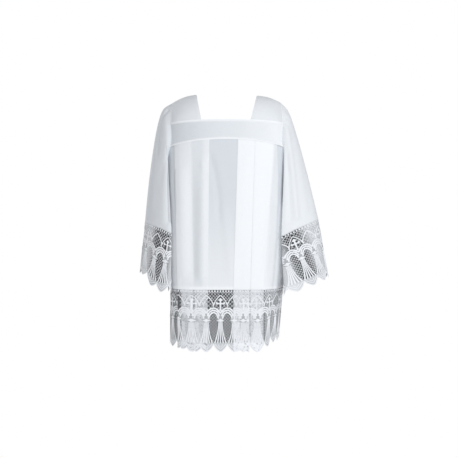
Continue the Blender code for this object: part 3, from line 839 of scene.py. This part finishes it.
def addPoint(work, place, tone=-1.0, aside=(0.0, 0.0)):
    # tone is the net's painted shade tone, or -1; aside is how far the point is from its thread's middle
    work["points"].append(place)
    work["tones"].append(tone)
    work["asides"].append((*aside, 0.0))


def addFace(work, base, corners):
    work["faces"].append([base + n for n in corners])


def addCord(work, points, width, height, endWidth=None):
    # a three-sided cord, flat below
    points = np.array(points, float)
    lengths = runLengths(points)
    wanted = np.linspace(0, lengths[-1], max(1, round(lengths[-1] / lace["cordStep"])) + 1)
    points = alongLine(wanted, lengths, points)
    ahead = unit(np.gradient(points, axis=0))
    aside = np.stack([-ahead[:, 1], ahead[:, 0]], -1)
    widths = np.linspace(width, endWidth or width, len(points))
    base = len(work["points"])
    for point, way, wide in zip(points, aside, widths):
        for shift, rise in ((-0.5, 0.0), (0.0, height), (0.5, 0.0)):
            u, v = point + way * shift * wide
            addPoint(work, (u, v, rise))
    for n in range(len(points) - 1):
        for k in range(3):
            first, second = 3 * n + k, 3 * n + (k + 1) % 3
            addFace(work, base, (first, second, second + 3, first + 3))
    last = 3 * (len(points) - 1)
    addFace(work, base, (2, 1, 0))
    addFace(work, base, (last, last + 1, last + 2))


def addPad(work, outline, height, lift=0.1):
    # a padded satin-stitch shape: raised in the middle, closed below
    base = len(work["points"])
    outline = np.array(outline, float)
    middle = outline.mean(axis=0)
    count = len(outline)
    for part, rise in ((1.0, 0.0), (0.72, 0.8 * height)):
        for corner in outline:
            u, v = mix(middle, corner, part)
            addPoint(work, (u, v, lift + rise))
    addPoint(work, (*middle, lift + height))
    addPoint(work, (*middle, lift))
    for n in range(count):
        after = (n + 1) % count
        addFace(work, base, (n, after, count + after, count + n))
        addFace(work, base, (count + n, count + after, 2 * count))
        addFace(work, base, (after, n, 2 * count + 1))


def addFill(work, middle, rows, tone, size=5.0, lift=0.05):
    # a closely worked area between two mirrored edges: rows of depth and half width
    depths = finePlaces([row[0] for row in rows], size)
    widths = lookUp(depths, rows)
    across = max(2, math.ceil(2 * max(widths) / size))
    base = len(work["points"])
    for depth, wide in zip(depths, widths):
        for n in range(across + 1):
            addPoint(work, (middle + wide * (2 * n / across - 1), depth, lift), tone)
    for row in range(len(depths) - 1):
        for n in range(across):
            first = row * (across + 1) + n
            addFace(work, base, (first, first + 1, first + across + 2, first + across + 1))


def ellipse(u, v, wide, high, corners=8):
    turns = [2 * math.pi * (n + 0.5) / corners for n in range(corners)]
    return [(u + wide * math.cos(turn), v + high * math.sin(turn)) for turn in turns]


def shifted(middle, points):
    return [(middle + u, v) for u, v in points]


def mirrored(middle, points):
    # a whole line from its right half, which starts on the middle
    return shifted(middle, [(-u, v) for u, v in points[::-1] if u > 0.01] + list(points))


def fromColumn(u):
    # how far it is to the middle of the nearest column
    return np.abs((u + lace["column"] / 2) % lace["column"] - lace["column"] / 2)


def edgeDepth(u):
    return lookUp(fromColumn(u), lace["edge"][::-1])


def archDepth(u):
    return lookUp(fromColumn(u), lace["pointedArch"][:7])


def addThreads(work, kind, within, lift):
    # threads both ways that cross the whole repeat, where within allows them
    (lines, wide), top = lace[kind], lace["netTop"]
    pitch, shift = lace["repeat"] / lines, wide / 2 * math.sqrt(0.5)
    for way in (-1, 1):
        for line in range(lines):
            for level in range(int((lace["height"] - top) / pitch)):
                v0, v1 = top + level * pitch, top + (level + 1) * pitch
                u0 = (line + way * level) * pitch % lace["repeat"]
                u1 = u0 + way * pitch
                if v1 > min(edgeDepth(u0), edgeDepth(u1)) - 1 or not within((u0 + u1) / 2, (v0 + v1) / 2):
                    continue
                base = len(work["points"])
                for u, v in ((u0, v0), (u1, v1)):
                    for turn in (-1, 1):
                        aside = (turn * shift, -turn * way * shift)
                        addPoint(work, (u + aside[0], v + aside[1], lift - 0.05 * way), -1.0, aside)
                addFace(work, base, (0, 1, 3, 2) if way > 0 else (1, 0, 2, 3))


def overArch(u, v):
    return archDepth(u) <= v < lace["latticeEnds"][0]


def inWindow(u, v):
    high, low = lace["latticeEnds"]
    reach = lookUp(v, lace["window"]) + lace["underCords"]
    return high <= v <= low and lace["column"] / 2 - fromColumn(u) < reach


def addSpandrel(work, middle):
    # crossing threads between arch tops
    half = lace["column"] / 2
    high, low, cell, slant = lace["spandrel"]
    for way in (-1, 1):
        for n in range(-6, 12):
            start = middle - half - 9 + n * cell
            line = [(start + way * (v - high) * slant, v) for v in np.arange(high, low, 2.5)]
            points = [(u, v) for u, v in line if abs(u - middle) <= half and v < archDepth(u) - 0.5]
            if len(points) > 1:
                addCord(work, points, 1.05, 0.3)


def addColumn(work, middle, cross):
    half = lace["column"] / 2
    for n in range(5):
        addPad(work, ellipse(middle - 18 + 9 * n, 5.6, 3.1, 2.9), 1.2)
    addCord(work, [(middle - half, 9.4), (middle + half, 9.4)], 1.0, 0.4)
    # the windows, the round arches and the mesh above them stand between two columns
    addSpandrel(work, middle + half)
    addCord(work, mirrored(middle, lace["pointedArch"]), 3.3, 1.1)
    for arch in lace["roundArches"]:
        addCord(work, mirrored(middle + half, arch), lace["roundCord"], 0.8)
    addPad(work, shifted(middle, lace["star"]), 1.9)
    for n in range(lace["strands"]):
        place = n - (lace["strands"] - 1) / 2
        addCord(work, [(middle + place * mix(*lace["strandSpread"], part ** 2.1),
                        mix(*lace["strandEnds"], part)) for part in np.linspace(0, 1, 14)],
                lace["strandWidths"][0], 0.9, lace["strandWidths"][1])
    addCord(work, mirrored(middle, lace["edge"][::-1]), 3.0, 0.9)
    for line, width in zip(lace["scallops"], (2.6, 2.4)):
        addCord(work, mirrored(middle, line), width, 0.8)
    if cross:
        for outline, height in zip(lace["crossBars"] + lace["diamonds"], (1.2, 1.1, 1.3, 1.2)):
            addPad(work, shifted(middle, outline), height)
        for side in (-1, 1):
            addPad(work, ellipse(middle + side * 11.5, 45.4, 3.5, 4.2), 1.3)


def drawNet(work):
    # the fine net and what is worked closely on it
    addThreads(work, "net", lambda u, v: True, -0.3)
    half = lace["column"] / 2
    for middle in (0.0, lace["column"]):
        # the fills take a painted shade tone too: light in the top band, middling in the waist, the border's
        # from its band
        addFill(work, middle, [(0, half), (1.6, half)], 1.0)
        addFill(work, middle, lace["waist"], 0.45)
        border = [(173, half), (176.5, half)] + [(v, max(u, 0.5)) for u, v in lace["edge"][1:]]
        addFill(work, middle, border, -1.0)


def drawThreads(work):
    # the open lattice and the cords
    addThreads(work, "archLattice", overArch, -0.1)
    addThreads(work, "windowLattice", inWindow, -0.1)
    addColumn(work, 0.0, True)
    addColumn(work, lace["column"], False)


def makeRepeat(name, draw, finish):
    work = {"points": [], "faces": [], "tones": [], "asides": []}
    draw(work)
    mesh = bpy.data.meshes.new(name)
    mesh.from_pydata(work["points"], [], work["faces"])
    mesh.materials.append(finish)
    setVectors(mesh.attributes.new("netShadeTone", "FLOAT", "POINT").data, "value", work["tones"])
    setVectors(mesh.attributes.new("aside", "FLOAT_VECTOR", "POINT").data, "vector", work["asides"])
    mesh.update()
    print(name, "made,", len(mesh.polygons), "faces")
    return mesh


netRepeat = makeRepeat("laceNet", drawNet, netThread)
threadRepeat = makeRepeat("laceThreads", drawThreads, laceThread)


def bisectAt(u, clear=None):
    bpy.ops.mesh.select_all(action="SELECT")
    bpy.ops.mesh.bisect(plane_co=(u, 0, 0), plane_no=(1, 0, 0), use_fill=False,
                        clear_inner=clear == "below", clear_outer=clear == "above")


def makeBand(name, repeat, start, end, shift, lines, place, netAt, flip):
    # copies of the repeat, cut to length, creased at the folds and put in their place
    first = math.floor((start - shift) / lace["repeat"]) - 1
    last = math.ceil((end - shift) / lace["repeat"]) + 1
    piece = addPiece(name, repeat.copy())
    makeActive(piece)
    bpy.ops.object.modifier_add(type="ARRAY")
    copies = piece.modifiers[-1]
    copies.count = last - first
    copies.use_relative_offset, copies.use_constant_offset = False, True
    copies.constant_offset_displace = (lace["repeat"], 0, 0)
    bpy.ops.object.modifier_apply(modifier=copies.name)
    mesh = piece.data
    mesh.name = name
    places, asides = vectors(mesh.vertices, "co"), vectors(mesh.attributes["aside"].data, "vector")
    places[:, 0] += first * lace["repeat"] + shift
    tones = np.zeros(len(places))
    mesh.attributes["netShadeTone"].data.foreach_get("value", tones)
    tone, width = netAt(*(places - asides)[:, :2].T)
    setVectors(mesh.attributes["netShadeTone"].data, "value", np.where(tones < 0, tone, tones))
    setVectors(mesh.vertices, "co", places - asides * (1 - width)[:, None])
    mesh.update()
    bpy.ops.object.mode_set(mode="EDIT")
    bisectAt(start, "below")
    bisectAt(end, "above")
    for u in lines:
        bisectAt(u)
    bpy.ops.object.mode_set(mode="OBJECT")
    u, v, lift = vectors(piece.data.vertices, "co").T
    out = outwardFrom(place, u, v, (0.25, 0.25), (start, end)) * (1 if flip else -1)
    setVectors(piece.data.vertices, "co", (place(u, v) + out * lift[:, None]) * mm)
    piece.data.update()
    if not flip:
        piece.data.flip_normals()
    makeActive(piece)
    bpy.ops.object.shade_smooth_by_angle(angle=math.radians(40))
    return piece


def makeLace(name, *shape):
    # the net and, on it, the threads
    return (makeBand(name, netRepeat, *shape), makeBand(name + "Threads", threadRepeat, *shape))


netShadeTones = {
    # how light the net's painted shade is in its parts; in the cuffs, and the width of its threads there
    "ground": 0.03, "spandrel": 0.0, "border": 0.6, "cuff": 0.75, "cuffWidths": (0.68, 0.96),
    # how light and how wide it is in folds that lie over others, how light beneath them
    "folded": [(-60, 0.8), (-40, 0.97)], "foldedWidth": 0.2, "underFolds": 0.6,
    # how much more painted shade it gets where the holes of several layers meet; how light at the sides
    "through": 0.55, "atSides": [(-170, 0.2), (-145, 0.0), (100, 0.0), (135, 0.35)],
}


def groundShadeTone(u, v):
    # painted shade of the net: darkest above the arches, lighter in the border
    tone = np.where(v > 172.9, netShadeTones["border"], netShadeTones["ground"])
    return np.where(v < archDepth(u), netShadeTones["spandrel"], tone)


def makeHemLace(name, face):
    def hemX(u):
        return panelPoint(u, np.full(len(u), body["hem"]), face)[:, 0]

    def place(u, v):
        shorter = lookUp(hemX(u), body["shorter"])
        return panelPoint(u, body["hem"] - body["seamGap"] - v * (1 - shorter), face)

    def netAt(u, v):
        # painted shade: dark net where one layer lies alone, lighter in folds over others, with a darker
        # speckle where the holes of several layers meet
        u = np.clip(u, plainU[0], plainU[-1])
        x = hemX(u)
        paintedShade, under = singleLayerShade(u, x, 1.0) > 0.5, undermost(u)
        through = np.sin(u * 0.83 + 1.7 * np.sin(v * 0.41)) * np.sin(v * 0.57 + 1.9 * np.sin(u * 0.29))
        folded, light = (lookUp(x * -face, netShadeTones[key]) for key in ("folded", "atSides"))
        tone = np.where(under, netShadeTones["underFolds"], folded)
        tone = tone - netShadeTones["through"] * smooth(through * 4 - 2.2)
        width = np.where(under | paintedShade, 1.0, netShadeTones["foldedWidth"])
        return np.where(paintedShade, np.maximum(groundShadeTone(u, v), light), tone), width

    folds = [u for u, row in zip(plainU, plainPath) if row[6]]
    return makeLace(name, plainU[0], plainU[-1], 0.0, folds, place, netAt, face == back)


sideNames, faceNames = {-1: "Left", 1: "Right"}, {front: "Front", back: "Back"}
hemWidth = (plainU[-1] - plainU[0]) * mm
laces = []
for face, faceName in faceNames.items():
    laces.append((makeHemLace("hemLace" + faceName, face), "hem_lace_" + faceName.lower(), hemWidth))
print("hem lace made")

cuffs = {
    # lower ring as in the sleeves; how its edge falls from outermost, 1, to innermost, 0, and how far
    # it rises again there; where the columns start, how they lean; where the net's painted shade gets dark
    # and light
    -1: {"ring": (299, -607, 202, -668, 110, 2.1, 31), "rise": 0, "offset": 9, "lean": 0.12,
         "fall": ((0, 0), (0.5, 0.05), (0.6, 0.14), (0.7, 0.36), (0.8, 0.7), (0.88, 0.92), (1, 1)),
         "dark": (70, 95, 145, 165)},
    1: {"ring": (347, -622, 207, -682, 112, 2.2, 33), "rise": 16, "offset": -13, "lean": 0.29,
        "fall": ((0, 0), (0.15, 0.08), (0.35, 0.25), (0.65, 0.57), (1, 1)),
        "dark": (70, 105, 145, 170)},
    "columns": 12, "levelV": 97,  # the columns lean about this depth
    "seamGap": 0.7,
}


def makeCuffLace(name, side, face):
    seamRing, cuff = sleeves[side][-1], cuffs[side]
    lowRing = np.array(cuff["ring"], float)
    turns = np.linspace(0, math.pi, 61)
    lengths = runLengths(ringPoint(mix(seamRing, lowRing, 0.5), turns, side))
    width = cuffs["columns"] / 2 * lace["column"]

    def place(patternU, v):
        u = patternU + cuff["offset"]
        u = u - cuff["lean"] * (v - cuffs["levelV"]) * np.sin(math.pi * u / width)
        angle = np.interp(u * lengths[-1] / width, lengths, turns)
        down = (cuffs["seamGap"] + v) / lace["height"]
        point = mix(ringPoint(seamRing, angle, side), ringPoint(lowRing, angle, side, cuff["fall"]),
                    down[:, None])
        point[..., 2] += cuff["rise"] * smooth((-np.cos(angle) - 0.4) / 0.6) * down
        return besideBody(point, angle, side, 1 - down) * np.array([1, -face, 1])

    def netAt(patternU, v):
        # painted shade: the net is dark over the cuff's middle and light towards both ends
        dark = np.interp(patternU + cuff["offset"], cuff["dark"], (0, 1, 1, 0))
        return mix(netShadeTones["cuff"], groundShadeTone(patternU, v), dark), mix(*netShadeTones["cuffWidths"], dark)

    start, end = 0.15 - cuff["offset"], width - 0.15 - cuff["offset"]
    return makeLace(name, start, end, lace["column"], [], place, netAt, (side < 0) != (face == front))


cuffWidth = cuffs["columns"] / 2 * lace["column"] * mm
for side, sideName in sideNames.items():
    for face, faceName in faceNames.items():
        node = "cuff_lace_" + sideName.lower() + "_" + faceName.lower()
        laces.append((makeCuffLace("cuffLace" + sideName + faceName, side, face), node, cuffWidth))
print("cuff lace made")


stitch = {"length": 2.4, "pitch": 3.4, "width": 0.55, "height": 0.35, "besideEdge": 0.6}


def makeStitches(name, lines):
    # rows of small stitches; each line is points and their outward directions
    corners = []
    for points, outs in lines:
        lengths = runLengths(points)
        starts = np.arange(1, lengths[-1] - stitch["length"], stitch["pitch"])
        first, last = (alongLine(starts + reach, lengths, points) for reach in (0, stitch["length"]))
        out = unit(alongLine(starts, lengths, outs))
        aside = np.cross(out, unit(last - first)) * stitch["width"] / 2
        middle, rise = (first + last) / 2, out * stitch["height"]
        corners += np.stack([first - rise * 0.6, middle + aside, middle - aside, last - rise * 0.6,
                             middle + rise], axis=1).reshape(-1, 3).tolist()
    faces = [[base + n for n in face] for base in range(0, len(corners), 5)
             for face in ((0, 1, 4), (1, 3, 4), (3, 2, 4), (2, 0, 4), (0, 2, 3, 1))]
    mesh = bpy.data.meshes.new(name)
    mesh.from_pydata((np.array(corners) * mm).tolist(), [], faces)
    mesh.materials.append(stitchThread)
    return addPiece(name, mesh)


def yokeLine(level, drop, face):
    # along a yoke's edge, drop below it
    across = np.linspace(0.01, 0.99, 160)
    start = tAtArmhole(np.full(len(across), level[1]))
    t = mix(start, 1 - start, across)
    points = bodyPoint(t, levelZ(level, t) - drop, face, 0.1)
    return points, bodyPoint(t, levelZ(level, t) - drop, face, 1.1) - points


def strapLine(side):
    # along the neck's edge
    along = np.linspace(-0.98, 0.98, 140)
    across = (strap["edge"] + stitch["besideEdge"]) / strap["flat"][0]
    points, outs = strapSurface(side, np.full(len(along), across), along)
    return points + outs * 0.5, outs


def sleeveLine(side, along):
    angle = np.linspace(0, 2 * math.pi, 260)
    points, outs = sleeveSurface(side, angle, np.full(len(angle), along))
    return points + outs * 0.4, outs


stitches = {}
for face, level in ((front, levels["frontYokeTop"]), (back, levels["backYokeTop"])):
    drop = yoke["edge"] + stitch["besideEdge"]
    stitches["yoke" + faceNames[face]] = makeStitches(
        "stitches" + faceNames[face],
        [yokeLine(level, drop, face), yokeLine(levels["yokeSeam"], -drop, face)])
for side, sideName in sideNames.items():
    stitches["strap" + sideName] = makeStitches("stitchesStrap" + sideName, [strapLine(side)])
    stitches["sleeve" + sideName] = makeStitches(
        "stitchesSleeve" + sideName,
        [sleeveLine(side, 0.05), sleeveLine(side, len(sleeves[side]) - 0.06)])
print("stitching made")


sheets = [
    # piece, CAD node, slot, flat width and length, area, how it is held, what is sewn on it
    (skirtFront, "skirt_front", "cloth", (hemWidth, 0.494), None, "hung", []),
    (skirtBack, "skirt_back", "cloth", (hemWidth, 0.494), None, "hung", []),
    (yokeFront, "yoke_front", "cloth", (0.40, 0.085), 0.0265, "stretched", [stitches["yokeFront"]]),
    (yokeBack, "yoke_back", "cloth", (0.40, 0.105), 0.0320, "stretched", [stitches["yokeBack"]]),
    (strapLeft, "strap_left", "cloth", (0.11, 0.31), None, "draped", [stitches["strapLeft"]]),
    (strapRight, "strap_right", "cloth", (0.11, 0.31), None, "draped", [stitches["strapRight"]]),
    (sleeveLeft, "sleeve_left", "cloth", (0.50, 0.42), 0.150, "hung", [stitches["sleeveLeft"]]),
    (sleeveRight, "sleeve_right", "cloth", (0.50, 0.42), 0.152, "hung", [stitches["sleeveRight"]]),
]
for (net, threads), node, wide in laces:
    sheets.append((net, node, "lace", (wide, 0.202), None, "hung", [threads]))
for piece, node, slotName, flat, area, held, sewnOn in sheets:
    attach(piece, "root")
    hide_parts(node)
    for small in sewnOn:
        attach(small, "root")
    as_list(sewnOn)


studio = {
    "cameraAt": (0.007, -2.6, -0.459), "lens": 59.45,
    "ambient": 0.53, "tint": (0.99, 0.99, 1.0),
    # name, place, size, energy, color; the last two stand opposite to the first two
    "lamps": [("key", (1.75, -2.07, 0.3), 1.5, 24, (0.96, 0.98, 1.0)),
              ("front", (0.1, -3.2, -0.3), 1.6, 33, (0.98, 0.99, 1.0)),
              ("back", (-1.75, 2.07, 0.3), 1.5, 22, (0.96, 0.98, 1.0)),
              ("behind", (-0.1, 3.2, -0.3), 1.6, 31, (0.98, 0.99, 1.0))],
    "lookAt": (0, 0, -0.42),
    "floorZ": -1.7, "floorRadius": 1.2,
}

bpy.ops.object.select_all(action="DESELECT")
bpy.ops.object.camera_add(location=studio["cameraAt"], rotation=(math.pi / 2, 0, 0))
camera = bpy.context.object
camera.data.lens = studio["lens"]
camera.data.sensor_width = 36
bpy.context.scene.camera = camera

for lampName, at, size, energy, color in studio["lamps"]:
    bpy.ops.object.light_add(type="AREA", location=at)
    lamp = bpy.context.object
    lamp.name = lampName
    lamp.data.shape, lamp.data.size = "DISK", size
    lamp.data.energy, lamp.data.color = energy, color
    lamp.rotation_euler = (Vector(studio["lookAt"]) - Vector(at)).to_track_quat("-Z", "Y").to_euler()

bpy.ops.object.select_all(action="DESELECT")
bpy.ops.mesh.primitive_circle_add(vertices=96, radius=studio["floorRadius"], fill_type="NGON",
                                  location=(0, 0, studio["floorZ"]))
floor = bpy.context.object
floor.name = "floor"
floorPaint, tree, shader = material("paleFloor")
setInputs(tree, shader, {"Base Color": (0.85, 0.85, 0.86), "Roughness": 0.9})
floor.data.materials.append(floorPaint)

world = bpy.data.worlds.new("studio")
bpy.context.scene.world = world
world.use_nodes = True
tree = world.node_tree
around = tree.nodes["Background"]
setInputs(tree, around, {"Color": studio["tint"], "Strength": studio["ambient"]})
behind = addNode(tree, "Background", {"Color": (1, 1, 1), "Strength": 1.0})
rays = addNode(tree, "LightPath", {}, "Is Camera Ray")
chosen = addNode(tree, "MixShader", {"Fac": rays, 1: around.outputs[0], 2: behind})
setInputs(tree, tree.nodes["World Output"], {"Surface": chosen})
bpy.context.scene.view_settings.view_transform = "Standard"
print("studio set")
